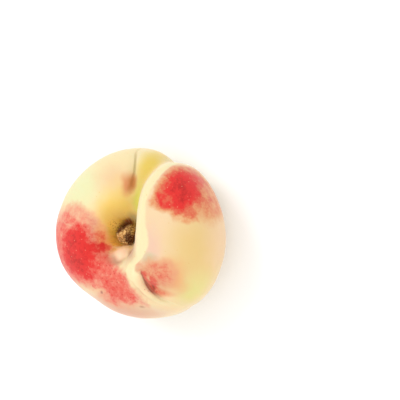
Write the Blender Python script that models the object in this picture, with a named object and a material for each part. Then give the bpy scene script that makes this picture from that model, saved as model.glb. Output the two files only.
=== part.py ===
"""A flat peach, whole and uncut, lying on its underside with the stem end up.

The fruit is one solid: a flattened round with a deep stem cavity, a raised lobe on the right whose
rounded rim stands over the cavity, a ridge that goes on from that rim as the lip of the left lobe with
a crease beside it, and a dimpled underside with the scar of the flower. The woody stub of the stem
stands in the cavity as a second solid.

Metres, +Z up along the stem. The origin is on the surface that the fruit rests on, under the middle of
its outline. +X points to the raised lobe, +Y to the back, where the valley between the lobes opens.
"""

import math

import bmesh
import bpy
import numpy as np
from mathutils import Matrix

MM = 0.001

# Driving dimensions of the fruit
HALF_ACROSS = 35.7 * MM
HEIGHT = 42.8 * MM
WAIST_HEIGHT = 20.5 * MM
STEM_AT = (-3.0 * MM, -0.8 * MM)
SCAR_AT = (1.0 * MM, -0.5 * MM)
SHOULDER_FULLNESS = 2.45
UNDERSIDE_FULLNESS = 2.25
FLAT_SPOT = 0.5 * MM

# Where the outline leaves a circle: an oval, and swellings as (millimetres, direction, spread) in degrees
OVAL = 0.8 * MM
OUTLINE_SWELLINGS = ((2.1, -50, 28), (-0.6, 22, 20), (-2.2, 66, 12), (0.3, 105, 25), (0.4, 185, 30),
                     (-2.0, 235, 22))

# The stem cavity, and the small swelling in front of the stem
CAVITY_DEPTH = 15.5 * MM
CAVITY_FLOOR = 2.0 * MM
CAVITY_WIDTH = 7.4 * MM
CAVITY_STEEPNESS = 2.2
SWELLING_AT = (-2.0 * MM, -8.8 * MM)
SWELLING_WIDTH = 3.3 * MM
SWELLING_HEIGHT = 1.6 * MM

# The valley that leaves the cavity towards the back: (distance from the stem, depth) in millimetres
VALLEY_DEPTHS = ((0, 0), (7, 7.5), (16, 7), (26, 4), (34, 1.3), (60, 0.8))
VALLEY_WIDTH = 7.5 * MM
VALLEY_OPENING = 8 * MM

# The left lobe stands a little higher on its own side and falls away at the back: (direction, spread)
LEFT_RISE = 0.8 * MM
LEFT_RISE_TOWARDS = (200, 60)
BACK_DROP = 0.8 * MM
BACK_DROP_TOWARDS = (100, 40)
SWAY_FROM = 4 * MM
SWAY_OVER = 10 * MM

# The right lobe stands higher than the left one, except at the front
LOBE_LIFT = 2.0 * MM
LOBE_SWELLING = 1.2 * MM
LOBE_AT = (21 * MM, 3 * MM)
LOBE_WIDTH = 12 * MM
LOBE_FRONT = -22 * MM
LOBE_FRONT_BLEND = 14 * MM

# The ridge in plan, in millimetres: the rim of the right lobe, then the lip of the left one
RIDGE_LINE = ((22.5, 37), (19.5, 31.2), (16.4, 25.8), (12.8, 19.5), (11, 11.5), (10.5, 3), (10.4, -4),
              (8.8, -10), (6, -14.6), (5.6, -19.2), (7.8, -23.8), (12.5, -27.8), (18.5, -31), (26, -36))
RIDGE_WIDTH = 2.5 * MM
RIM_HEIGHT = 0.5 * MM
LIP_HEIGHT = 1.1 * MM
LIP_FROM = -6 * MM
LIP_BLEND = 8 * MM

# The wall that falls from the rim into the cavity
WALL_TO_RIDGE = 4.7 * MM
WALL_WIDTH = 5.2 * MM
WALL_STEEPNESS = 3
FOOT_ROUNDING = 0.9 * MM

# The crease on the right of the lip: (place from front to back, depth) in millimetres
CREASE_DEPTHS = ((-33, 0.2), (-29.5, 0.8), (-27, 2.6), (-25, 4.6), (-22, 4.9), (-18, 3.2), (-14.5, 1.2),
                 (-11, 0))
CREASE_TO_RIDGE = 3.0 * MM
CREASE_ROUNDING = 0.7 * MM
LIP_WIDTH = 3.0 * MM
BANK_WIDTH = 12.0 * MM

# The small fold on the back shoulder, in millimetres
FOLD_LINE = ((1.4, 16.5), (2.2, 20), (2.9, 25), (2.4, 29.5), (1.0, 34), (0.2, 42))
FOLD_DEPTH = 1.2 * MM
FOLD_STEEP_SIDE = 1.2 * MM
FOLD_LONG_SIDE = 3.6 * MM
FOLD_SHARPNESS = 1.3
FOLD_START = 5 * MM

# The underside: the dimple round the scar, and the seams that run into it over the waist, in millimetres
DIMPLE_DEPTH = 5.0 * MM
DIMPLE_WIDTH = 9.5 * MM
BACK_SEAM_LINE = ((22, 46), (15, 31.6), (9.5, 17), (4, 6), (1, -0.5))
BACK_SEAM_DEPTH = 1.0 * MM
FRONT_SEAM_LINE = ((33, -46), (22, -30.5), (12.5, -17), (5, -6), (1, -0.5))
FRONT_SEAM_DEPTH = 0.5 * MM
SEAM_WIDTH = 2.4 * MM
SEAM_SHARPNESS = 1.5
SEAM_FADE = 22 * MM
WAIST_BLEND = 0.75

# The stub of the stem: its knobs are (size, turns round it, twist, start)
STUB_ACROSS = (7.8 * MM, 7.2 * MM)
STUB_HEIGHT = 4.6 * MM
STUB_FULLNESS = 2.5
STUB_FOOT = 0.84
STUB_TILT = (0.10, 0.14)
KNOBS = ((0.06, 2, 1, 0.7), (0.05, 3, -2, 2.1), (0.04, 5, 3, 4.0))
GAP = 0.45 * MM

# How finely the solids are divided, with more lines in the directions, in degrees, that have fine relief
MERIDIANS = 100
RINGS = 54
SAMPLES = 420
UNDERSIDE_SPACING = 1.6
CROWDED_TOWARDS = (60, 84, -62)
CROWDING = 1.3
CROWDING_SPREAD = 18
DIRECTIONS_TRIED = 2001
STUB_MERIDIANS = 40
STUB_RINGS = 22

# Plain colours for the solids, and how rough they are
SKIN_COLOUR = (0.93, 0.52, 0.33)
SKIN_ROUGHNESS = 0.75
STUB_COLOUR = (0.28, 0.16, 0.07)
STUB_ROUGHNESS = 0.85


def smooth_curve(points, steps=8):
    """A Catmull-Rom curve through plan points in millimetres, as an array in metres."""
    p = np.array(points, float) * MM
    p = np.vstack([2 * p[0] - p[1], p, 2 * p[-1] - p[-2]])
    t = np.linspace(0, 1, steps, endpoint=False)[:, None]
    runs = [
        0.5 * (2 * b + (c - a) * t + (2 * a - 5 * b + 4 * c - d) * t**2 + (3 * b - a - 3 * c + d) * t**3)
        for a, b, c, d in zip(p, p[1:], p[2:], p[3:])
    ]
    return np.vstack([*runs, p[-2:-1]])


RIDGE = smooth_curve(RIDGE_LINE)
FOLD = smooth_curve(FOLD_LINE)
BACK_SEAM = smooth_curve(BACK_SEAM_LINE)
FRONT_SEAM = smooth_curve(FRONT_SEAM_LINE)


def beside(curve, x, y):
    """How far plan points lie to the left of a curve (negative: right), and how far along it."""
    a, b = curve[:-1], curve[1:]
    run = b - a
    length = np.hypot(run[:, 0], run[:, 1])
    start = np.concatenate([[0], np.cumsum(length)[:-1]])
    dx = x[..., None] - a[:, 0]
    dy = y[..., None] - a[:, 1]
    share = np.clip((dx * run[:, 0] + dy * run[:, 1]) / length**2, 0, 1)
    gap_x = dx - share * run[:, 0]
    gap_y = dy - share * run[:, 1]
    gap = np.hypot(gap_x, gap_y)
    nearest = gap.argmin(-1)[..., None]
    side = np.sign(run[:, 0] * gap_y - run[:, 1] * gap_x)
    along = start + share * length

    def pick(values):
        return np.take_along_axis(values, nearest, -1)[..., 0]

    return pick(side) * pick(gap), pick(along)


def from_point(point, x, y):
    """How far plan points lie from one plan point."""
    return np.hypot(x - point[0], y - point[1])


def table(pairs, at):
    """A value read between (place, value) pairs in millimetres."""
    places, values = np.array(pairs, float).T * MM
    return np.interp(at, places, values)


def eased(share, power=2):
    """Rises from 0 to 1 with a slope at its foot and level at its top."""
    return 1 - (1 - np.clip(share, 0, 1)) ** power


def gentle(share):
    """Rises from 0 to 1, level at both ends."""
    share = np.clip(share, 0, 1)
    return share * share * (3 - 2 * share)


def hill(distance, width, power=2):
    """1 in the middle, falling off to both sides."""
    return np.exp(-(np.abs(distance / width) ** power))


def towards(angle, centre, spread):
    """1 in one direction, given in degrees, falling off to both sides of it."""
    away = (angle - math.radians(centre) + math.pi) % (2 * math.pi) - math.pi
    return hill(away, math.radians(spread))


def outline_radius(angle):
    swellings = sum(size * towards(angle, centre, spread) for size, centre, spread in OUTLINE_SWELLINGS)
    return HALF_ACROSS + OVAL * np.cos(2 * angle) + MM * swellings


def lobes_relief(x, y, ridge):
    """The cavity and the valley on the left of the wall, and the raised lobe on its right."""
    from_stem = from_point(STEM_AT, x, y)
    angle = np.arctan2(y, x)
    cavity = CAVITY_DEPTH * hill(np.maximum(from_stem - CAVITY_FLOOR, 0), CAVITY_WIDTH, CAVITY_STEEPNESS)
    valley = table(VALLEY_DEPTHS, from_stem) * hill(ridge + WALL_TO_RIDGE, VALLEY_WIDTH)
    left = -cavity - valley * eased((y - STEM_AT[1]) / VALLEY_OPENING)
    lift = LOBE_LIFT + LOBE_SWELLING * hill(from_point(LOBE_AT, x, y), LOBE_WIDTH)
    right = lift * gentle((y - LOBE_FRONT) / LOBE_FRONT_BLEND)
    wall = ridge + WALL_TO_RIDGE
    wall = (wall + np.hypot(wall, FOOT_ROUNDING)) / 2
    sway = LEFT_RISE * towards(angle, *LEFT_RISE_TOWARDS) - BACK_DROP * towards(angle, *BACK_DROP_TOWARDS)
    return (
        left
        + (right - left) * eased(wall / WALL_WIDTH, WALL_STEEPNESS)
        + sway * gentle((from_stem - SWAY_FROM) / SWAY_OVER)
    )


def crease_relief(y, ridge):
    """The crease: its short steep side is the lip of the left lobe, its long side the bank of the right."""
    across = ridge - CREASE_TO_RIDGE
    blunt = np.hypot(across, CREASE_ROUNDING) - CREASE_ROUNDING
    side = np.where(across > 0, eased(blunt / BANK_WIDTH), eased(blunt / LIP_WIDTH))
    return -table(CREASE_DEPTHS, y) * (1 - side)


def fold_relief(x, y):
    fold, along = beside(FOLD, x, y)
    flank = np.where(fold > 0, FOLD_STEEP_SIDE, FOLD_LONG_SIDE)
    return -FOLD_DEPTH * eased(along / FOLD_START) * hill(fold, flank, FOLD_SHARPNESS)


def seam_relief(x, y):
    """The shallow seams that go on from the valley and the crease, over the waist to the flower scar."""
    back, _ = beside(BACK_SEAM, x, y)
    front, _ = beside(FRONT_SEAM, x, y)
    depth = (
        BACK_SEAM_DEPTH * hill(back, SEAM_WIDTH, SEAM_SHARPNESS)
        + FRONT_SEAM_DEPTH * hill(front, SEAM_WIDTH, SEAM_SHARPNESS)
    )
    return -depth * gentle(from_point(SCAR_AT, x, y) / SEAM_FADE)


def upper_relief(x, y, rise):
    """How far the skin stands out of the dome on the upper side, at this share of the dome's height."""
    ridge, _ = beside(RIDGE, x, y)
    ridge_height = RIM_HEIGHT + (LIP_HEIGHT - RIM_HEIGHT) * gentle((LIP_FROM - y) / LIP_BLEND)
    relief = (
        lobes_relief(x, y, ridge)
        + ridge_height * hill(ridge, RIDGE_WIDTH)
        + crease_relief(y, ridge)
        + SWELLING_HEIGHT * hill(from_point(SWELLING_AT, x, y), SWELLING_WIDTH)
        + fold_relief(x, y)
    )
    above_waist = gentle(rise / WAIST_BLEND)
    return relief * above_waist + seam_relief(x, y) * (1 - above_waist)


def under_relief(x, y):
    """How far the skin stands out of the dome on the underside."""
    return seam_relief(x, y) - DIMPLE_DEPTH * hill(from_point(SCAR_AT, x, y), DIMPLE_WIDTH)


def meridian(angle):
    """One line of the skin in one plan direction, from the stem to the flower scar, as points in metres."""
    turn = np.linspace(0, math.pi, SAMPLES)
    upper = turn <= math.pi / 2
    fullness = np.where(upper, SHOULDER_FULLNESS, UNDERSIDE_FULLNESS)
    half = np.where(upper, HEIGHT - WAIST_HEIGHT - LOBE_LIFT, WAIST_HEIGHT)
    out = np.abs(np.sin(turn)) ** (2 / fullness)
    rise = np.sign(np.cos(turn)) * np.abs(np.cos(turn)) ** (2 / fullness)
    pole = np.where(upper[:, None], STEM_AT, SCAR_AT)
    radius = outline_radius(angle)
    direction = np.array([math.cos(angle), math.sin(angle)])
    plan = pole * (1 - out[:, None] ** 2) + out[:, None] * radius * direction
    x, y, z = plan[:, 0], plan[:, 1], half * rise

    lift = np.where(upper, upper_relief(x, y, rise), under_relief(x, y))
    steep = np.abs(rise) ** (fullness - 1) / half
    flat = out ** (fullness - 1) / radius
    scale = np.hypot(steep, flat)
    outward, upward = flat / scale, np.sign(rise) * steep / scale
    x = x + lift * outward * math.cos(angle)
    y = y + lift * outward * math.sin(angle)
    return np.column_stack([x, y, z + lift * upward + WAIST_HEIGHT])


def crowded(angle):
    """Moves evenly spread directions towards those where the relief is fine."""
    fine = np.linspace(-math.pi, math.pi, DIRECTIONS_TRIED)
    weight = 1 + sum(CROWDING * towards(fine, centre, CROWDING_SPREAD) for centre in CROWDED_TOWARDS)
    share = np.concatenate([[0], np.cumsum((weight[1:] + weight[:-1]) / 2)])
    return float(np.interp((angle + math.pi) / (2 * math.pi), share / share[-1], fine))


def spread_out(line, count):
    """The same line with its points at even distances, wider apart on the underside."""
    step = np.linalg.norm(np.diff(line, axis=0), axis=1)
    upper = np.arange(len(step)) < len(step) / 2
    travelled = np.concatenate([[0], np.cumsum(step / np.where(upper, 1, UNDERSIDE_SPACING))])
    at = np.linspace(0, travelled[-1], count)
    return np.column_stack([np.interp(at, travelled, line[:, k]) for k in range(3)])


def material(name, colour, roughness):
    made = bpy.data.materials.new(name)
    made.use_nodes = True
    shader = made.node_tree.nodes["Principled BSDF"]
    shader.inputs["Base Color"].default_value = (*colour, 1)
    shader.inputs["Roughness"].default_value = roughness
    shader.inputs["Metallic"].default_value = 0
    return made


def finished(name, bm, look):
    mesh = bpy.data.meshes.new(name)
    bm.to_mesh(mesh)
    bm.free()
    mesh.shade_smooth()
    made = bpy.data.objects.new(name, mesh)
    made.data.materials.append(look)
    bpy.context.scene.collection.objects.link(made)
    return made


def ball(meridians, rings, place):
    """A UV sphere whose lines are put where place(angle) says."""
    bm = bmesh.new()
    bmesh.ops.create_uvsphere(bm, u_segments=meridians, v_segments=rings, radius=1)
    lines = {}
    for vert in bm.verts:
        ring = round(math.acos(max(-1, min(1, vert.co.z))) / math.pi * rings)
        column = round((math.atan2(vert.co.y, vert.co.x) + math.pi) / (2 * math.pi) * meridians) % meridians
        if column not in lines:
            lines[column] = place(2 * math.pi * column / meridians - math.pi)
        vert.co = lines[column][ring]
    return bm


def make_fruit():
    bm = ball(MERIDIANS, RINGS, lambda angle: spread_out(meridian(crowded(angle)), RINGS + 1))
    return finished("fruit", bm, material("peach_skin", SKIN_COLOUR, SKIN_ROUGHNESS))


def stub_line(angle):
    """One line of the stub in one plan direction, from its broken top to its foot, as points in metres."""
    turn = np.linspace(0, math.pi, STUB_RINGS + 1)
    out = np.sin(turn) ** (2 / STUB_FULLNESS)
    top = (1 + np.sign(np.cos(turn)) * np.abs(np.cos(turn)) ** (2 / STUB_FULLNESS)) / 2
    knobs = sum(size * np.sin(turns * angle + twist * turn + start) for size, turns, twist, start in KNOBS)
    across = out * (1 + knobs * out) * (STUB_FOOT + (1 - STUB_FOOT) * top) / 2
    x = STUB_ACROSS[0] * across * math.cos(angle)
    y = STUB_ACROSS[1] * across * math.sin(angle)
    z = top * (STUB_HEIGHT + STUB_TILT[0] * x + STUB_TILT[1] * y)
    cavity_floor = meridian(0)[0]
    return np.column_stack([x, y, z + GAP]) + cavity_floor


def make_stub():
    bm = ball(STUB_MERIDIANS, STUB_RINGS, stub_line)
    return finished("stem_stub", bm, material("dry_stem", STUB_COLOUR, STUB_ROUGHNESS))


def set_down(fruit, stub):
    """Flattens the lowest part of the fruit, and moves both so that it rests there over the origin."""
    floor = min(vert.co.z for vert in fruit.data.vertices) + FLAT_SPOT
    for vert in fruit.data.vertices:
        vert.co.z = max(vert.co.z, floor)
    places = np.array([vert.co for vert in fruit.data.vertices])
    middle = (places.min(0) + places.max(0)) / 2
    for thing in (fruit, stub):
        thing.data.transform(Matrix.Translation((-middle[0], -middle[1], -floor)))


def main():
    for old in list(bpy.data.objects):
        bpy.data.objects.remove(old)
    set_down(make_fruit(), make_stub())


main()
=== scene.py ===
# %% [markdown]
# # A flat peach, whole, lying stem end up
#
# A flat peach grows low and wide, like a cushion that has been pressed down at its middle. The stem sits
# at the bottom of a deep cavity, and on this fruit one lobe has grown higher than the other: its rim
# curls round the cavity like a wave, and runs on below as a lip with a deep crease beside it.
#
# The solids already have those forms. This lesson dresses them: a finer skin with its small wrinkles, the
# velvety down, a blush that is painted by formula, and the dry, knobbly stub of the stem.

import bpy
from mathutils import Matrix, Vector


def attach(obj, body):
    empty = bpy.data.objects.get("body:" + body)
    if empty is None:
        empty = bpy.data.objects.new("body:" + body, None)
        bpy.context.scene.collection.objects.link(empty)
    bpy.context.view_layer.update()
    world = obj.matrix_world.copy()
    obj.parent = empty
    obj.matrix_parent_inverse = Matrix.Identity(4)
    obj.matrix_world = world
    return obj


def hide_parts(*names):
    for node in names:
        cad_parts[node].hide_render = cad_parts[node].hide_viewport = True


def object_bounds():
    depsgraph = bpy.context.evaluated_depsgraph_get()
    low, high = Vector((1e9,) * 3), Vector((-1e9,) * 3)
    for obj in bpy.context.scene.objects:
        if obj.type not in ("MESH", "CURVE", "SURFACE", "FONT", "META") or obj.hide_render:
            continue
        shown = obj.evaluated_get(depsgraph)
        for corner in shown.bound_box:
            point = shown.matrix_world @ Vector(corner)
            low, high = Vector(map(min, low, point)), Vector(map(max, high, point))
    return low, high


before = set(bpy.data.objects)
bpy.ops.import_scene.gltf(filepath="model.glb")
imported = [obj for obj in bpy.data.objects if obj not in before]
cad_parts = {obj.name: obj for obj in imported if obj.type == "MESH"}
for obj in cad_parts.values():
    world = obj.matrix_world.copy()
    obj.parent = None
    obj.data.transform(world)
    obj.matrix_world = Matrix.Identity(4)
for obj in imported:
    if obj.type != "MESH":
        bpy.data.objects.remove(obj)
cad_low, cad_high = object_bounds()
print("solids:", sorted(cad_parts), "box in mm:", [round(v * 1000, 1) for v in cad_high - cad_low])

# %% [markdown]
# ## The tools
#
# Blender measures in metres, and a peach is small, so most numbers would start with 0.0. The skin's shapes
# and the places of its colours are given in millimetres instead, with x to the right, y to the back and z
# up, and turned into metres only where Blender takes them. The camera and the lamps stay in metres. Sums
# over all points of a mesh at once are left to numpy, which is much faster than a loop.

# %% Bring in the tools
import math

import bmesh
import bpy
import numpy as np
from mathutils import Matrix, Vector, noise

MM = 0.001
print("one millimetre is", MM, "of Blender's units")

# %% [markdown]
# ## The camera
#
# The photograph looks down on the fruit, leaning a little towards the raised lobe, so that its rim hides
# part of the cavity. It could be turned by three angles, but a camera is easier to place by the direction
# from the fruit to it and by what is up in the picture. A long lens from 60 cm away keeps the outline as
# round as the photograph has it, and the two offsets put the fruit left of and below the picture's middle.

# %% Place the camera
LEAN = math.radians(25)
DISTANCE = 0.6
PICTURE_WIDTH = 0.1646
FRUIT_FROM_MIDDLE = (-0.0251, -0.0136)
SENSOR = 36

fruit_middle = Vector((0, 0, (cad_low.z + cad_high.z) / 2))
to_camera = Vector((math.sin(LEAN), 0, math.cos(LEAN)))
picture_up = Vector((0, 1, 0))
picture_right = picture_up.cross(to_camera)

camera = bpy.data.objects.new("camera", bpy.data.cameras.new("camera"))
bpy.context.scene.collection.objects.link(camera)
camera.matrix_world = Matrix((picture_right, picture_up, to_camera)).transposed().to_4x4()
camera.location = (
    fruit_middle
    + to_camera * DISTANCE
    - picture_right * FRUIT_FROM_MIDDLE[0]
    - picture_up * FRUIT_FROM_MIDDLE[1]
)
camera.data.sensor_width = SENSOR
camera.data.lens = SENSOR * DISTANCE / PICTURE_WIDTH
camera.data.clip_start = 0.01
bpy.context.scene.camera = camera
print("lens:", round(camera.data.lens), "mm")

# %% [markdown]
# ## Floor and light
#
# The photograph is bright all over, with hardly a shadow: a white table in a white room. A white world
# lights the fruit from every side, a large soft lamp from the upper left gives the forms a little shade,
# and a weaker one from the lower right fills it. The levels are set so that the pale grey floor turns
# white in the picture, and the palette further on allows for that much light. The Standard view shows a
# colour as it is, where the filmic ones would grey the white floor.


# %% A white floor and soft light
def plain_floor():
    bm = bmesh.new()
    bmesh.ops.create_grid(bm, x_segments=1, y_segments=1, size=3)
    mesh = bpy.data.meshes.new("floor")
    bm.to_mesh(mesh)
    bm.free()
    floor = bpy.data.objects.new("floor", mesh)
    bpy.context.scene.collection.objects.link(floor)
    white = bpy.data.materials.new("floor_white")
    white.use_nodes = True
    shader = white.node_tree.nodes["Principled BSDF"]
    shader.inputs["Base Color"].default_value = (0.9, 0.9, 0.9, 1)
    shader.inputs["Roughness"].default_value = 0.9
    shader.inputs["Specular IOR Level"].default_value = 0.1
    mesh.materials.append(white)
    return floor


def soft_lamp(name, place, size, watts):
    lamp = bpy.data.lights.new(name, "AREA")
    lamp.size = size
    lamp.energy = watts
    holder = bpy.data.objects.new(name, lamp)
    bpy.context.scene.collection.objects.link(holder)
    holder.location = place
    holder.rotation_euler = (fruit_middle - Vector(place)).to_track_quat("-Z", "Y").to_euler()
    return holder


plain_floor()
soft_lamp("key", (-0.5, 0.5, 0.8), 0.6, 4.5)
soft_lamp("fill", (0.6, -0.5, 0.6), 0.9, 3.5)

world = bpy.data.worlds.new("white_room")
bpy.context.scene.world = world
world.use_nodes = True
world.node_tree.nodes["Background"].inputs["Color"].default_value = (1, 1, 1, 1)
world.node_tree.nodes["Background"].inputs["Strength"].default_value = 1.0
bpy.context.scene.view_settings.view_transform = "Standard"
print("floor, lamps and world are set")

# %% [markdown]
# ## The skin's own shape
#
# The solid is a faceted net of triangles. The skin could be sculpted anew, but then its forms would drift
# from the solid's, so it is a copy: its double points are merged, its triangles paired into four-sided
# faces, and a Subdivision Surface rounds it four times finer each way. The result is kept as plain mesh,
# because the small wrinkles are pressed into it next, point by point.


# %% Make a fine copy of a solid
def fine_copy(node, name, levels):
    bm = bmesh.new()
    bm.from_mesh(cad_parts[node].data)
    bmesh.ops.remove_doubles(bm, verts=bm.verts[:], dist=0.01 * MM)
    bmesh.ops.join_triangles(
        bm, faces=bm.faces[:], angle_face_threshold=math.pi, angle_shape_threshold=math.pi
    )
    rough = bpy.data.meshes.new(name + "_rough")
    bm.to_mesh(rough)
    bm.free()
    holder = bpy.data.objects.new(name, rough)
    bpy.context.scene.collection.objects.link(holder)
    rounding = holder.modifiers.new("rounding", "SUBSURF")
    rounding.levels = rounding.render_levels = levels
    fine = bpy.data.meshes.new_from_object(holder.evaluated_get(bpy.context.evaluated_depsgraph_get()))
    holder.modifiers.clear()
    holder.data = fine
    fine.name = name
    fine.materials.clear()
    fine.shade_smooth()
    return holder


def points_of(mesh):
    places = np.empty(len(mesh.vertices) * 3)
    mesh.vertices.foreach_get("co", places)
    return places.reshape(-1, 3)


def normals_of(mesh):
    normals = np.empty(len(mesh.vertices) * 3)
    mesh.vertex_normals.foreach_get("vector", normals)
    return normals.reshape(-1, 3)


skin = fine_copy("fruit", "peach_skin", 2)
print("skin:", len(skin.data.vertices), "points,", len(skin.data.polygons), "faces")

# %% [markdown]
# ## Lines on the skin
#
# The rim, the lip and the crease all follow one S-shaped line seen from above, and the fold on the back
# shoulder follows another. With the distance of each point from those lines, a wrinkle or a band of
# colour can be put just where the form has it. The lines are smooth curves through a few points, in
# millimetres.

# %% Measure each point's distance from the ridge and from the fold
RIDGE_LINE = (
    (22.7, 37), (19.7, 31.2), (16.6, 25.8), (13, 19.5), (11.2, 11.5), (10.7, 3), (10.6, -4),
    (9, -10), (6.2, -14.6), (5.8, -19.2), (8, -23.8), (12.7, -27.8), (18.7, -31), (26.2, -36),
)
FOLD_LINE = ((1.6, 16.5), (2.4, 20), (3.1, 25), (2.6, 29.5), (1.2, 34), (0.4, 42))


def smooth_curve(points, steps=8):
    p = np.array(points, float) * MM
    p = np.vstack([2 * p[0] - p[1], p, 2 * p[-1] - p[-2]])
    t = np.linspace(0, 1, steps, endpoint=False)[:, None]
    runs = [
        0.5 * (2 * b + (c - a) * t + (2 * a - 5 * b + 4 * c - d) * t**2 + (3 * b - a - 3 * c + d) * t**3)
        for a, b, c, d in zip(p, p[1:], p[2:], p[3:])
    ]
    return np.vstack([*runs, p[-2:-1]])


def beside(line, places):
    """Distance in plan, in millimetres: positive on the left of one who walks along the line."""
    # The curve is taken as many short straight runs, and the nearest point of the nearest run counts.
    curve = smooth_curve(line)
    best = np.full(len(places), np.inf)
    for a, b in zip(curve[:-1], curve[1:]):
        run = b - a
        from_a = places[:, :2] - a
        share = np.clip(from_a @ run / (run @ run), 0, 1)
        gap = from_a - share[:, None] * run
        distance = np.hypot(gap[:, 0], gap[:, 1])
        side = np.sign(run[0] * gap[:, 1] - run[1] * gap[:, 0])
        best = np.where(distance < np.abs(best), side * distance, best)
    return best / MM


at = points_of(skin.data)
ridge = beside(RIDGE_LINE, at)
fold = beside(FOLD_LINE, at)
print("ridge distance from", round(ridge.min(), 1), "to", round(ridge.max(), 1), "mm")

# %% [markdown]
# ## Small wrinkles
#
# The forms of the solid are smooth. On the real skin the bottom of the crease is a sharp slit, the fold
# is a thin line, the small swelling in front of the stem has a groove round it, gathers run out from the
# stem like the pleats of a cushion round its button, and the whole surface is very slightly uneven. A bump
# in the material could fake them, but it would be gone from the mesh. So each is a depth that a formula
# gives at every point, pressed in along the normal.


# %% Tools for pressing in wrinkles
def hill(distance, width, power=2):
    """1 on the line, and down to a third at this width. A higher power gives a flatter top."""
    return np.exp(-np.abs(distance / width) ** power)


def gentle(share):
    """A share from 0 to 1 that starts and ends softly."""
    share = np.clip(share, 0, 1)
    return share * share * (3 - 2 * share)


def grain(places, size, seed=0):
    """Smooth noise from about -1 to 1, with lumps of this many millimetres."""
    return np.array([noise.noise(Vector(p) / size + Vector((seed, 0, 0))) for p in places])


def pleats(places, middle, count, seed=0):
    """Ribs that run outwards from a middle, about this many in the whole turn, each a little crooked."""
    across = places[:, :2] - middle
    distance = np.hypot(across[:, 0], across[:, 1])
    round_about = across / np.maximum(distance, 0.1)[:, None] * count / 4
    ribs = np.abs(grain(np.column_stack([round_about, distance * 0.18]), 1, seed))
    return distance, ribs


def press(piece, depth):
    """Move each point of a piece inwards along its normal by a depth in millimetres."""
    moved = points_of(piece.data) - normals_of(piece.data) * (depth * MM)[:, None]
    piece.data.vertices.foreach_set("co", moved.ravel())
    piece.data.update()


print("a hill at half its width:", round(float(hill(0.5, 1)), 2))

# %% [markdown]
# ## Where the wrinkles are
#
# Each wrinkle is a height or depth in millimetres, times the shape of its cross-section, times a share that
# keeps it to its own place. The stem's cavity and the scar of the flower are each given by their middle,
# and the swelling by its middle and its two radii.

# %% Press the wrinkles into the skin
STEM = (-2.8, -0.77)
SCAR = (1.2, -0.47)
SWELLING = (-2.5, -7.7)
SWELLING_RADII = (3.1, 2.5)
CREASE_FROM_RIDGE = 3.0

x, y, z = (at / MM).T
above = gentle((z - 18) / 6)
in_crease = above * gentle((y + 29) / 4) * gentle((-13 - y) / 4)
on_fold = above * gentle((y - 17) / 4)
from_swelling = np.hypot((x - SWELLING[0]) / SWELLING_RADII[0], (y - SWELLING[1]) / SWELLING_RADII[1])
swelling = hill(from_swelling, 1, 2.6) * above
from_stem, stem_ribs = pleats(at / MM, STEM, 22)
from_scar, scar_ribs = pleats(at / MM, SCAR, 26, 7)

slit = 0.8 * hill(ridge - CREASE_FROM_RIDGE, 0.5) * in_crease
fold_groove = 0.4 * hill(fold, 0.4) * on_fold
swelling_groove = 0.35 * hill(from_swelling - 1.45, 0.3) * above
stem_pleats = 0.45 * stem_ribs * hill(from_stem - 5.5, 3) * (above - swelling)
scar_pleats = 0.6 * scar_ribs * hill(from_scar - 3.5, 3) * (1 - above)
uneven = (0.16 * grain(at / MM, 9) + 0.05 * grain(at / MM, 3, 5)) * gentle(z / 3)

depth = slit + fold_groove - 1.1 * swelling + swelling_groove + stem_pleats + scar_pleats + uneven
press(skin, depth)
print("deepest wrinkle:", round(depth.max(), 2), "mm, highest swelling:", round(-depth.min(), 2), "mm")

# %% [markdown]
# ## The edges of the pale band
#
# A pale band follows the rim and the lip, but not at one width: it is broad where the rim curls over the
# stem, and pinched where the lip bends. A table gives the distance of its two edges from the ridge line,
# from the front of the fruit to the back. A curve node could hold it, but numbers are easier to read and
# change, so the skin carries the result: 0 in the middle of the band and 1 at both edges. The two distances
# go with it.

# %% Keep the distances with the skin, for its colours
BAND_AT_Y = (-31, -22, -19, -17, -14.7, -12, -9, -4, 1, 3.5, 7, 9.5, 12, 16, 20, 25)
BAND_LEFT = (1.0, 1.0, 0.4, -0.9, -2.2, -2.0, -0.9, -1.6, -2.2, -2.6, -3.3, -3.3, -3.1, -3.0, -2.8, -2.6)
BAND_RIGHT = (3.2, 3.2, 3.2, 2.7, 1.3, 0.6, 2.3, 3.6, 3.2, 2.5, 2.2, 1.9, 1.3, 1.5, 1.6, 1.3)

left_edge = np.interp(y, BAND_AT_Y, BAND_LEFT)
right_edge = np.interp(y, BAND_AT_Y, BAND_RIGHT)
off_band = np.abs(2 * ridge - left_edge - right_edge) / (right_edge - left_edge)
for name, distance in (("ridge", ridge), ("fold", fold), ("off_band", off_band)):
    skin.data.attributes.new(name, "FLOAT", "POINT").data.foreach_set("value", distance)
band_width = right_edge - left_edge
print("the band is", round(band_width.min(), 1), "to", round(band_width.max(), 1), "mm wide")

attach(skin, "root")
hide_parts("fruit")

# %% [markdown]
# ## Shader sums in plain Python
#
# A finish is a net of nodes, and written by hand each node takes several lines. Two small classes do it
# shorter. A wire is a number on its way through the nodes, and adding or multiplying wires adds Math
# nodes. A finish makes any other node from its type, its settings, and what goes into its sockets.


# %% A wire carries a number
class Wire:
    def __init__(self, finish, socket):
        self.finish = finish
        self.socket = socket

    def sum(self, operation, first, second):
        return self.finish.add("Math", {"operation": operation}, {0: first, 1: second})

    def __add__(self, other):
        return self.sum("ADD", self, other)

    def __sub__(self, other):
        return self.sum("SUBTRACT", self, other)

    def __rsub__(self, other):
        return self.sum("SUBTRACT", other, self)

    def __mul__(self, other):
        return self.sum("MULTIPLY", self, other)

    def __or__(self, other):
        return self.sum("MAXIMUM", self, other)

    __radd__ = __add__
    __rmul__ = __mul__


print("wires can be joined by +, -, * and |, which takes the larger of the two")

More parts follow.
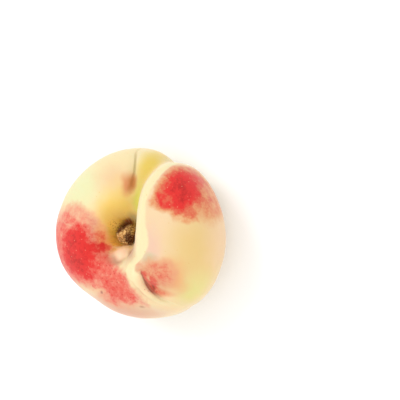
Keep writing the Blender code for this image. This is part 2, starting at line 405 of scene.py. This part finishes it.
# %% [markdown]
# ## Nodes by name
#
# The rest of a finish is made of a few kinds of net that come back again and again: a soft step, noise of a
# given size, an ellipsoid with a soft edge, and dots. Each becomes a method that is named for what it does,
# and all of them add their nodes through one method. Sizes are in millimetres here as well, because the
# finish starts from the place on the object times 1000.

# %% A finish is a material and the nodes behind it
class Finish:
    def __init__(self, name):
        self.material = bpy.data.materials.new(name)
        self.material.use_nodes = True
        self.tree = self.material.node_tree
        self.shader = self.tree.nodes["Principled BSDF"]
        self.object_place = self.add("TexCoord", output=3)
        self.place = self.vector("SCALE", self.object_place, Scale=1000)

    def add(self, kind, settings=None, sockets=None, output=0):
        node = self.tree.nodes.new("ShaderNode" + kind)
        for name, value in (settings or {}).items():
            setattr(node, name, value)
        shown = [socket for socket in node.inputs if socket.enabled]
        for key, value in (sockets or {}).items():
            socket = shown[key] if isinstance(key, int) else node.inputs[key]
            self.feed(socket, value)
        return Wire(self, [socket for socket in node.outputs if socket.enabled][output])

    def feed(self, socket, value):
        if isinstance(value, Wire):
            self.tree.links.new(value.socket, socket)
        elif socket.type == "RGBA":
            socket.default_value = (*value, 1)
        else:
            socket.default_value = value

    def vector(self, operation, *values, **named):
        return self.add("VectorMath", {"operation": operation}, {**dict(enumerate(values)), **named})

    def mix(self, share, below, over):
        return self.add("Mix", {"data_type": "RGBA"}, {0: share, 1: below, 2: over})

    def step(self, value, low, high):
        """0 below low, 1 above high, and a soft step between; the other way round if low is the higher."""
        return self.add("MapRange", {"interpolation_type": "SMOOTHSTEP"}, {0: value, 1: low, 2: high})

    def noise(self, size, seed=0, detail=2, place=None, output=0):
        """Noise from 0 to 1 with lumps of this many millimetres."""
        shifted = self.vector("ADD", place or self.place, (seed, seed, seed))
        return self.add("TexNoise", {}, {"Vector": shifted, "Scale": 1 / size, "Detail": detail}, output)

    def pulled_about(self, place, size, amount, seed):
        """The place, shifted by noise by up to about this many millimetres, so that edges turn ragged."""
        away = self.vector("SUBTRACT", self.noise(size, seed, output=1), (0.5, 0.5, 0.5))
        return self.vector("MULTIPLY_ADD", away, (2 * amount,) * 3, place)

    def patch(self, place, centre, radii, degrees=0, softness=0.4):
        """1 within an ellipsoid, 0 outside it. Its edge is as soft as this share of its size."""
        settings = {"vector_type": "TEXTURE"}
        turned = {"Location": centre, "Rotation": (0, 0, math.radians(degrees)), "Scale": radii}
        inside = self.add("Mapping", settings, {"Vector": place, **turned})
        return self.step(self.vector("LENGTH", inside), 1 + softness, 1 - softness)

    def dots(self, spacing, size, seed):
        """Small round dots of about this size in millimetres, this far apart."""
        shifted = self.vector("ADD", self.place, (seed, seed, seed))
        away = self.add("TexVoronoi", {}, {"Vector": shifted, "Scale": 1 / spacing})
        return self.step(away * spacing, size / 2 * 1.4, size / 2 * 0.6)

    def bump(self, height, depth):
        """A normal for a height from 0 to 1 that stands for this many millimetres."""
        return self.add("Bump", {}, {"Height": height, "Distance": depth * MM})

    def set(self, **values):
        for name, value in values.items():
            self.feed(self.shader.inputs[name.replace("_", " ")], value)


print("a finish can make:", ", ".join(name for name in vars(Finish) if not name.startswith("_")))

# %% [markdown]
# ## Colours as they look
#
# The colours are written as they look on the lit fruit, from 0 to 255, which is how a painter would mix
# them. The surface itself is darker than it looks here, because the light is stronger than full white,
# so each colour is made linear and divided by the strength of the light. A few stand for places that lie
# in shade, so they are mixed brighter than they end up, some past 255.

# %% The palette of a ripe flat peach
LIGHT = 1.42


def paint(*looks):
    shares = [value / 255 for value in looks]
    return tuple((v / 12.92 if v < 0.04045 else ((v + 0.055) / 1.055) ** 2.4) / LIGHT for v in shares)


CREAM = paint(254, 233, 178)
GREEN_CREAM = paint(245, 243, 188)
PALE_PEACH = paint(253, 221, 176)
BLUSHED_CREAM = paint(250, 208, 180)
PEACH_AND_PAINTED_LIGHT = paint(278, 236, 196)
GREY_CREAM = paint(224, 208, 168)
FRONT_TAN = paint(236, 186, 154)
PAINTED_SHADE_TAN = paint(206, 150, 116)
LIP_SHADE = paint(222, 182, 138)
WARM_TAN = paint(250, 212, 164)
HONEY = paint(244, 209, 138)
PALE_LIME = paint(240, 227, 146)
GOLD = paint(256, 215, 108)
OLD_GOLD = paint(232, 170, 10)
AMBER = paint(262, 190, 76)
GOLD_AND_PAINTED_LIGHT = paint(270, 218, 96)
YELLOW = paint(246, 214, 100)
LIME_GOLD = paint(234, 222, 100)
OLIVE = paint(214, 190, 116)
PALE_RIM_AND_PAINTED_LIGHT = paint(255, 242, 190)
PAINTED_LIGHT_CREAM = paint(278, 256, 204)
PINK = paint(248, 178, 142)
SALMON = paint(246, 124, 102)
RED = paint(238, 42, 36)
DEEP_RED = paint(200, 24, 18)
TAWNY_PINK = paint(241, 168, 113)
TAWNY_RED = paint(234, 112, 78)
AMBER_PINK_AND_PAINTED_LIGHT = paint(266, 176, 106)
AMBER_RED_AND_PAINTED_LIGHT = paint(254, 118, 70)
ORANGE = paint(238, 160, 104)
APRICOT = paint(248, 184, 122)
RUST = paint(206, 132, 62)
CREASE_SHADE_RED = paint(176, 74, 52)
APRICOT_AND_PAINTED_LIGHT = paint(274, 224, 160)
FOLD_GREEN = paint(178, 156, 92)
DEAD_BROWN_AND_SHADE = paint(160, 84, 0)
FRECKLE = paint(186, 122, 100)
print("red as a surface colour:", [round(v, 3) for v in RED])

# %% [markdown]
# ## The ground colours of the skin
#
# The ground of the skin is cream. It turns greenish where leaves shaded it, golden down in the cavity and
# the valley beside the rim, and honey-coloured on the raised lobe. Each tint is an ellipsoid in space with
# a soft edge. Painting by ellipsoids keeps a tint on the skin wherever it curves, without any image. Each
# row holds a colour, the ellipsoid's middle and radii, its turn in degrees, and how soft its edge is. The
# place is pulled about by noise first, so that no tint shows as an oval.

# %% Tint the ground
skin_finish = Finish("peach_skin")
soft_place = skin_finish.pulled_about(skin_finish.place, 9, 2.6, 3)
ragged_place = skin_finish.pulled_about(soft_place, 2, 1.3, 8)

GROUND_TINTS = (
    (GREEN_CREAM, (-20, 18, 32), (9, 8, 12), 20, 0.7),
    (PALE_PEACH, (22, -2, 30), (17, 34, 30), 0, 0.5),
    (HONEY, (30, -7, 28), (9, 15, 18), 0, 0.7),
    (PALE_LIME, (27, -22, 26), (5.5, 7, 7), -30, 0.9),
    (BLUSHED_CREAM, (-8, -33, 28), (22, 8, 6), -12, 0.8),
    (FRONT_TAN, (-1, -30.5, 28), (12, 4.5, 6), -12, 0.9),
    (BLUSHED_CREAM, (15.5, -5, 39), (3, 7, 6), 0, 0.9),
    (GREY_CREAM, (14.3, -9.2, 39), (2.6, 2, 4), 0, 0.8),
    (APRICOT, (21, -17, 34), (6, 7, 7), 0, 0.7),
    # apricot on the cavity's left lip, mixed brighter as painted light
    (APRICOT_AND_PAINTED_LIGHT, (-11, 3, 33), (4.5, 9, 6), 0, 0.7),
    (WARM_TAN, (-5, 22, 31), (7, 5, 8), 0, 0.8),
    # gold in the cavity, mixed a little brighter as painted light against its shade
    (GOLD, (-3, 9, 31), (8, 12, 8), 0, 0.5),
    (YELLOW, (7.5, 26, 24), (4, 10, 14), -12, 0.7),
    (LIME_GOLD, (5.3, 12.5, 31), (1.7, 6.5, 8), 0, 0.7),
    (OLIVE, (1.6, 5.6, 26.5), (2.4, 3.4, 5), 0, 0.8),
    # amber below the stub, mixed brighter as painted light
    (AMBER, (-6, -4, 28), (6.5, 4.5, 5), 0, 0.7),
    (OLD_GOLD, (-5.5, 2.4, 25.5), (5.6, 5.4, 4.8), 0, 0.5),
    # painted light: a brighter gold low in the cavity, against its shade
    (GOLD_AND_PAINTED_LIGHT, (-7.3, 4, 27.8), (3, 4, 4), 0, 0.7),
    (WARM_TAN, (36.5, -3, 18), (4, 12, 10), 0, 0.8),
)

ground = CREAM
for colour, centre, radii, degrees, softness in GROUND_TINTS:
    share = skin_finish.patch(soft_place, centre, radii, degrees, softness)
    ground = skin_finish.mix(share, ground, colour)
print("ground tints:", len(GROUND_TINTS))

# %% [markdown]
# ## The blush
#
# Sun turns the skin red through thousands of small cells that change one by one, so a blush has no edge:
# it thins out into mottles and then into specks. A single red oval with a blurred edge would look
# airbrushed. Instead one number says how strongly each place has blushed: it is the strongest of many
# ragged ellipsoids, and noise of three sizes breaks it up. Each row holds a strength, then the ellipsoid's
# middle, radii, turn and softness. One row, low on the right side, is no blush but a painted reflection of
# pink light, and it adds to the same number.

# %% Where the fruit has blushed
BLUSHES_AND_PAINTED_REFLECTION = (
    (1.0, (-20, -7.5, 34), (10.5, 12.5, 14), 15, 0.5),
    (0.9, (-12.5, -6.2, 33), (5.4, 3.4, 8), -8, 0.7),
    (0.95, (-15.8, -16.8, 34), (5.2, 3.4, 7), -30, 0.6),
    (0.64, (-18.8, -3.5, 35), (10.6, 9, 12), -15, 0.35),
    (0.68, (-25.5, 0.5, 35.5), (6, 4.2, 6), 0, 0.5),
    (0.6, (-24.5, 6, 35.5), (6.6, 3.4, 6), 0, 0.6),
    (0.58, (-12, -20, 35.5), (5.5, 3, 5), -25, 0.5),
    (0.75, (-14, -13, 34), (9, 9.5, 12), -30, 0.55),
    (0.67, (-3.5, -18.5, 34), (11.5, 7.5, 12), -33, 0.4),
    (0.57, (-3.5, -24.5, 30), (10.5, 6.5, 10), -18, 0.6),
    (0.68, (2.5, -24, 32), (6.5, 6, 9), -30, 0.5),
    (0.46, (-20.8, 2.4, 36), (11.2, 10.6, 16), 0, 0.3),
    (0.76, (-29, -8, 27), (13, 17, 15), 5, 0.7),
    (0.5, (-30, -10, 18), (12, 20, 15), 5, 0.8),
    (1.05, (25.3, 17.4, 31.5), (7.8, 10.4, 11), 8, 0.6),
    (0.54, (26.5, 18.5, 27.5), (12, 14, 14), 0, 0.3),
    (0.5, (18, 12.5, 38), (4.5, 4, 4), 0, 0.6),
    (0.8, (20.2, 14, 37), (4.5, 5, 5), 0, 0.6),
    (0.72, (28, 21.5, 25), (5, 6.5, 8), 0, 0.6),
    (0.66, (29, 8.4, 33), (4, 5, 5), 30, 0.6),
    (0.53, (16.8, -15.4, 35), (8.2, 7.4, 9), -15, 0.6),
    (0.64, (13.2, -18.4, 33.5), (3.4, 3.4, 5), -30, 0.7),
    (0.95, (11.8, -21.6, 34), (2.8, 3.4, 5), -30, 0.9),
    # painted reflection of pink light on the right limb, low down; no blush
    (0.48, (33, 15, 22), (9, 12, 16), 0, 0.5),
    (0.3, (-8, -31, 22), (22, 9, 14), -12, 0.7),
    (0.46, (7.6, -26.6, 34.5), (5, 2.2, 6), -48, 0.8),
    (0.46, (1.7, -17.8, 36.5), (4.4, 2.2, 4), -48, 0.8),
    (0.42, (9.6, -12.8, 38), (3, 3.4, 4), 0, 0.7),
)
print("blushes:", len(BLUSHES_AND_PAINTED_REFLECTION))

# %% [markdown]
# ## Where the skin is, along and across
#
# The blush also follows the crease: its bank, on the far side from the lip, is red along the whole slit,
# and close to the lip the red thins out. So the shader needs the distance from the ridge line, the place
# from front to back, and the height, each as one number.

# %% Add up how strongly each place has blushed
ridge_at = skin_finish.add("Attribute", {"attribute_name": "ridge"}, output=2)
along = skin_finish.add("SeparateXYZ", {}, {0: skin_finish.place}, 1)
height = skin_finish.add("SeparateXYZ", {}, {0: skin_finish.place}, 2)
upper_side = skin_finish.step(height, 20, 27)
crease_reach = skin_finish.step(along, -27, -23) * skin_finish.step(along, -12, -16)
bank = skin_finish.step(ridge_at, 2.6, 3.2) * skin_finish.step(ridge_at, 9.5, 3.5)

blush = 0.7 * bank * crease_reach * upper_side
for strength, centre, radii, degrees, softness in BLUSHES_AND_PAINTED_REFLECTION:
    share = skin_finish.patch(ragged_place, centre, radii, degrees, softness) * strength
    blush = share | blush
mottle = 0.35 * skin_finish.noise(5, 40) + 0.5 * skin_finish.noise(2.3, 20)
mottle = mottle + 0.3 * skin_finish.noise(0.8, 31) - 0.575
blush = blush + mottle * skin_finish.step(blush, 0.1, 0.8)
beside_lip = skin_finish.step(ridge_at, -2.8, 0.6) * skin_finish.step(ridge_at, 2, 1)
lip_reach = skin_finish.step(along, -14, -18) * skin_finish.step(along, -26, -20)
blush = blush - 0.36 * beside_lip * lip_reach
print("nodes behind the blush:", len(skin_finish.tree.nodes))

# %% [markdown]
# ## From pink to deep red
#
# The colour follows the strength of the blush in four steps: pink, salmon, red and deep red. A plain ramp
# would do for one fruit all of one kind, but here the ground shows through the thin parts, so pink and
# salmon turn tawny over the honey-coloured lobe, and amber over the gold beside the cavity. The amber
# ones are also mixed brighter, past 255, as painted light against the shade of the cavity's wall.

# %% Colour the skin by its blush
far_lobe = skin_finish.step(ridge_at, 1, 4) * (0.5 + 0.5 * skin_finish.step(along, -10, 0))
by_cavity = skin_finish.patch(soft_place, (-8.5, -1, 30), (4.5, 7, 5), 0, 0.6)
pink = skin_finish.mix(by_cavity, skin_finish.mix(far_lobe, PINK, TAWNY_PINK), AMBER_PINK_AND_PAINTED_LIGHT)
salmon = skin_finish.mix(by_cavity, skin_finish.mix(far_lobe, SALMON, TAWNY_RED), AMBER_RED_AND_PAINTED_LIGHT)
blushed = skin_finish.mix(skin_finish.step(blush, 0.12, 0.5), ground, pink)
blushed = skin_finish.mix(skin_finish.step(blush, 0.4, 0.66), blushed, salmon)
blushed = skin_finish.mix(skin_finish.step(blush, 0.58, 0.92), blushed, RED)
blushed = skin_finish.mix(skin_finish.step(blush, 0.95, 1.2), blushed, DEEP_RED)
print("nodes so far:", len(skin_finish.tree.nodes))

# %% [markdown]
# ## Rim, crease and fold
#
# The curled rim is the palest part of this fruit: it is stretched, and it catches the light, so its band is
# partly its own pale colour and partly painted light. The band is laid over the blush, and on the wall of
# the crease it is painted brighter still, as painted light against the wall's shade. It and the painted
# shade line at the bottom of the crease follow the distance from the ridge line that the skin carries, and
# the green line of the fold follows its own, so all three keep to the form.

# %% Lay the band and the two lines over the blush
off_band = skin_finish.add("Attribute", {"attribute_name": "off_band"}, output=2)
fold_at = skin_finish.add("Attribute", {"attribute_name": "fold"}, output=2)
unsteady = skin_finish.noise(2.5, 50) - 0.5
band_reach = skin_finish.step(along, -31, -25) * upper_side
band = skin_finish.step(off_band + unsteady * 0.35, 1.3, 0.8) * band_reach
# The pale band: partly the rim's own pale colour, partly painted light where the rim catches the light.
coloured = skin_finish.mix(band * 0.95, blushed, PALE_RIM_AND_PAINTED_LIGHT)
# Painted light: the lip's wall in the crease is painted brighter than the band, against its shade.
painted_light_lip_wall = band * crease_reach * skin_finish.step(ridge_at, -0.2, 1.2)
coloured = skin_finish.mix(painted_light_lip_wall, coloured, PAINTED_LIGHT_CREAM)

# Painted shade: a dark red-brown line along the bottom of the crease.
crease = skin_finish.step(ridge_at, 2.6, 3.0) * skin_finish.step(ridge_at, 4.0, 3.1)
crease = crease * crease_reach * skin_finish.step(along, -13, -19)
coloured = skin_finish.mix(crease * upper_side * 0.9, coloured, CREASE_SHADE_RED)

fold_reach = skin_finish.step(along, 17, 21) * skin_finish.step(height, 23, 29)
fold_line = skin_finish.step(fold_at, -0.75, -0.2) * skin_finish.step(fold_at, 0.75, 0.2)
coloured = skin_finish.mix(fold_line * fold_reach * 0.55, coloured, FOLD_GREEN)
print("nodes with the bands:", len(skin_finish.tree.nodes))

# %% [markdown]
# ## Marks
#
# Small marks tell a real fruit from a model: a rusty rub mark by the fold, and freckles such as insects and
# twigs leave behind. Others are painted light and shade: painted shade round the swelling, in the bank of
# the crease and on the inner slope of the lip, the swelling's pale peach and the steep wall in front of the
# stub mixed brighter as painted light, and a painted glow along the upper edge of the lobe at the back.
# They are ellipsoids as well, laid over everything else. Close round the stem the tissue has died off: a
# dark crescent in the gap beside the stub, brown dead tissue deepened by painted shade, with specks that
# thin out over the gold, and the scar of the flower on the underside is the same brown.

# %% Lay the marks over the skin
MARKS = (
    (ORANGE, (1.0, 20.3, 32), (2.4, 3.4, 5), 0.7),
    (RUST, (2.7, 20.2, 31.5), (1.2, 2.6, 5), 0.8),
    # painted shade at the lower left of the swelling
    (PAINTED_SHADE_TAN, (-2.8, -10.4, 35), (3.0, 1.7, 4), 0.8),
    # painted shade in the bank of the crease
    (CREASE_SHADE_RED, (11.3, -21.9, 31), (0.7, 1.1, 2.4), 0.9),
    # the swelling's pale peach, mixed brighter as painted light
    (PEACH_AND_PAINTED_LIGHT, (-1.9, -7.8, 31.5), (3.0, 2.7, 5), 0.5),
    # painted light on the steep wall in front of the stub
    (APRICOT_AND_PAINTED_LIGHT, (-4.2, -5.5, 27.6), (3.2, 0.9, 3), 0.6),
    # painted shade between the swelling and the lip
    (PAINTED_SHADE_TAN, (2.4, -7.4, 32), (1.1, 2.6, 4), 0.8),
    # painted shade on the inner slope of the lip
    (LIP_SHADE, (5.2, -7.6, 37.2), (3.0, 3.0, 3.6), 0.8),
    (FRECKLE, (7.2, -29.5, 31.6), (0.8, 0.6, 1), 0.8),
    (FRECKLE, (-9.5, -24.1, 34.4), (0.6, 0.5, 1), 0.8),
    # painted glow along the upper edge of the lobe, at the back
    (PALE_RIM_AND_PAINTED_LIGHT, (19.5, 33, 24), (8, 4.5, 9), 0.5),
    (HONEY, (1.2, -0.47, 4), (6, 6, 5), 0.9),
)
for colour, centre, radii, softness in MARKS:
    share = skin_finish.patch(soft_place, centre, radii, 0, softness)
    coloured = skin_finish.mix(share, coloured, colour)
# the dark crescent in the gap beside the stub: dead tissue deepened by painted shade
dead = skin_finish.patch(soft_place, (-3.3, 4.1, 24.6), (3.0, 1.6, 3), 40, 0.5)
coloured = skin_finish.mix(dead, coloured, DEAD_BROWN_AND_SHADE)
by_stem = skin_finish.patch(ragged_place, (-6.6, 3.6, 27), (2.7, 3.8, 5), 0, 0.5)
dead_specks = by_stem * skin_finish.dots(0.9, 0.55, 15)
coloured = skin_finish.mix(dead_specks * 0.6, coloured, DEAD_BROWN_AND_SHADE)
scar = skin_finish.patch(ragged_place, (*SCAR, 4), (2, 1.6, 4), 30, 0.6)
coloured = skin_finish.mix(scar, coloured, DEAD_BROWN_AND_SHADE)
print("marks:", len(MARKS), "and the dead tissue at both ends")

# %% [markdown]
# ## Pores and down
#
# Pores show as tiny pale dots in the red and as tan ones on the cream, and here and there a group of cells
# in the blush has turned dark. Over everything lies the down, short colourless hairs that turn the skin
# dull and give it a whitish glow where it curves away. Real hairs would be thinner than a pixel and slow to
# render, so the glow is the shader's own sheen, and a fine bump breaks up what little gloss is left. A
# little light goes through the skin and comes out again nearby, which keeps the shaded places warm.

# %% Pores, gloss and the glow of the down
pale_pores = skin_finish.dots(1.9, 0.42, 11) * skin_finish.step(blush, 0.45, 0.8)
coloured = skin_finish.mix(pale_pores * 0.55, coloured, PINK)
dark_cells = skin_finish.dots(1.6, 0.6, 27) * skin_finish.step(blush, 0.4, 0.65)
coloured = skin_finish.mix(dark_cells * 0.45, coloured, DEEP_RED)
tan_pores = skin_finish.dots(3.1, 0.4, 60) * skin_finish.step(blush, 0.3, 0.05)
coloured = skin_finish.mix(tan_pores * 0.4, coloured, OLD_GOLD)
shade = skin_finish.noise(1.1, 70, 3)
coloured = skin_finish.mix(skin_finish.step(shade, 0.62, 0.8) * 0.12, coloured, HONEY)

nap = skin_finish.noise(0.28, 90, 2) * 0.6 + skin_finish.noise(1.4, 95, 2) * 0.4
skin_finish.set(
    Base_Color=coloured,
    Roughness=0.62 + 0.2 * shade,
    Normal=skin_finish.bump(nap, 0.06),
    Sheen_Weight=0.35,
    Sheen_Roughness=0.45,
    Sheen_Tint=(1, 0.93, 0.9),
    Subsurface_Weight=0.12,
    Subsurface_Radius=(1, 0.4, 0.2),
    Subsurface_Scale=1.5 * MM,
    Specular_IOR_Level=0.3,
)
skin.data.materials.append(skin_finish.material)
print("nodes in the skin's finish:", len(skin_finish.tree.nodes))

# %% [markdown]
# ## The stub of the stem
#
# The fruit was picked with a few millimetres of its woody stem. It is a knot more than a rod: lumps of
# bark with cracks between them, and a dip where the rest of the stem tore out. The solid has the knot's
# form. Lumps could be added one by one, but cell noise gives them all: each cell is a lump, and the borders
# between cells are the cracks. A finer copy of the solid is pressed in by them. The foot stays as it is.

# %% Give the knot its lumps and cracks
def crack_marks(spots, size, seed):
    """1 along the borders of lumps of this size in millimetres, 0 within them."""
    bent = spots + 0.6 * np.column_stack([grain(spots, 1.3, shift) for shift in (20, 40, 60)])
    marks = []
    for spot in bent:
        near, next_near = noise.voronoi(Vector(spot) / size + Vector((seed, 0, 0)))[0][:2]
        marks.append(1 - (next_near - near) / 0.3)
    return gentle(np.array(marks))


stub = fine_copy("stem_stub", "stem_knob", 3)
spots = points_of(stub.data) / MM
foot = spots[:, 2].min()
free = gentle((spots[:, 2] - foot - 0.5) / 1.5)
broken = gentle(0.5 + 1.5 * grain(spots, 1.8, 12))
crack = np.maximum(crack_marks(spots, 2.0, 23), 0.6 * crack_marks(spots, 1.1, 5) * broken) * free
roughness = 0.25 * grain(spots, 0.9) + 0.08 * grain(spots, 0.35, 4) - 0.5
torn = hill(np.linalg.norm((spots - (-0.6, 1.9, 26.6)) / (2.4, 1.6, 2), axis=1), 1)
press(stub, (0.5 * crack + roughness - 1.1 * torn) * free)
stub.data.attributes.new("crack", "FLOAT", "POINT").data.foreach_set("value", crack)
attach(stub, "root")
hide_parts("stem_stub")
print("stub:", len(stub.data.polygons), "faces; cracked", round(100 * crack.mean()), "percent")

# %% [markdown]
# ## Bark
#
# Fresh torn bark is tan and fibrous, and it goes nearly black where it dried out. On the side by the rim
# and along the sunken edge at the back, that black is dried bark deepened by painted shade, where the stub
# lies in the shade of the cavity. Where it has weathered it is olive. Three ragged ellipsoids lay these
# over the tan, and the cracks that the mesh carries are darkened last. The tan is mixed brighter than it
# looks, past 255, as painted light against the same shade.

# %% Bark with dark cracks
# The tan is mixed brighter than it looks, as painted light.
BARK_TAN = paint(270, 226, 150)
BARK_BROWN = paint(214, 152, 84)
DARK_BARK_AND_SHADE = paint(88, 34, 0)
BARK_OLIVE = paint(206, 164, 88)

bark = Finish("stem_bark")
crack_at = bark.add("Attribute", {"attribute_name": "crack"}, output=2)
fibre = bark.noise(0.5, 5, 4)
tone = bark.mix(bark.step(fibre, 0.35, 0.65), BARK_BROWN, BARK_TAN)
crooked = bark.pulled_about(bark.place, 1.2, 0.6, 2)
# dried bark on the side by the rim, deepened by painted shade
dried_and_shaded = bark.patch(crooked, (0.1, -2.1, 27), (2.7, 2.7, 6), 0, 0.35)
tone = bark.mix(dried_and_shaded * (0.95 - 0.4 * bark.step(fibre, 0.5, 0.7)), tone, DARK_BARK_AND_SHADE)
# the sunken edge at the back, dark bark deepened by painted shade
sunken_and_shaded = bark.patch(crooked, (-3.7, 2.5, 27), (4.4, 1.4, 5), 35, 0.4)
tone = bark.mix(sunken_and_shaded * 0.85, tone, DARK_BARK_AND_SHADE)
weathered = bark.patch(crooked, (0.9, 1.9, 27), (1.5, 2.4, 5), 0, 0.4)
tone = bark.mix(weathered * 0.8, tone, BARK_OLIVE)
tone = bark.mix(bark.step(crack_at, 0.4, 1) * 0.6, tone, DARK_BARK_AND_SHADE)
bark.set(
    Base_Color=tone,
    Roughness=0.75 + 0.2 * fibre,
    Normal=bark.bump(bark.noise(0.22, 9, 3), 0.08),
    Specular_IOR_Level=0.15,
)
stub.data.materials.append(bark.material)
print("nodes in the bark:", len(bark.tree.nodes))

# %% [markdown]
# ## Finish
#
# The dressed fruit is meant to fill the same space as the solids.
